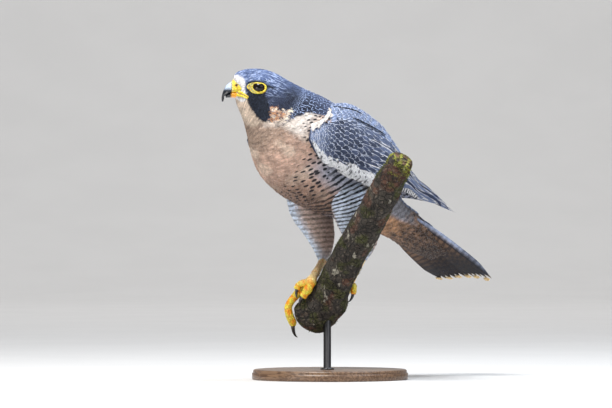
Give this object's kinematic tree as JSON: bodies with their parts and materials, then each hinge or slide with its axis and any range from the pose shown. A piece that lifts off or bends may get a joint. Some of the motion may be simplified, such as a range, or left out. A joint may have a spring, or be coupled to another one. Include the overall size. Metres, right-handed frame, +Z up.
{
  "type": "falcon perched on a branch",
  "caption": "Life-size still model of a perched falcon with folded wings, its head turned, gripping a slanting cut branch held over a round base by a rod.",
  "frame": {"origin": "centre of the stand base's flat underside", "axes": "the falcon's breast faces -Y, its left wing is at +X and +Z is up"},
  "size_m": [0.2448, 0.352, 0.3655],
  "materials": {
    "slate_feathers": "barred feathers",
    "pale_feathers": "soft body feathers",
    "bill_horn": "smooth horn",
    "yellow_skin": "bare scaly skin",
    "eye_dark": "glossy eye",
    "claw_horn": "polished horn",
    "bark": "rough bark",
    "stand_wood": "oiled wood",
    "stand_metal": "satin paint"
  },
  "bodies": {
    "root": {"head": "slate_feathers", "neck": "slate_feathers", "torso": "pale_feathers", "tail": "slate_feathers", "wing_left": "slate_feathers", "wing_right": "slate_feathers", "leg_left": "pale_feathers", "leg_right": "pale_feathers", "bill_upper": "bill_horn", "bill_lower": "bill_horn", "cere": "yellow_skin", "eye_left": "eye_dark", "eye_right": "eye_dark", "tarsus_left": "yellow_skin", "tarsus_right": "yellow_skin", "foot_left": "yellow_skin", "foot_right": "yellow_skin", "branch": "bark", "stand_base": "stand_wood", "stand_rod": "stand_metal", "claw_left_inner": "claw_horn", "claw_left_middle": "claw_horn", "claw_left_outer": "claw_horn", "claw_left_hind": "claw_horn", "claw_right_inner": "claw_horn", "claw_right_middle": "claw_horn", "claw_right_outer": "claw_horn", "claw_right_hind": "claw_horn"}
  },
  "joints": []
}
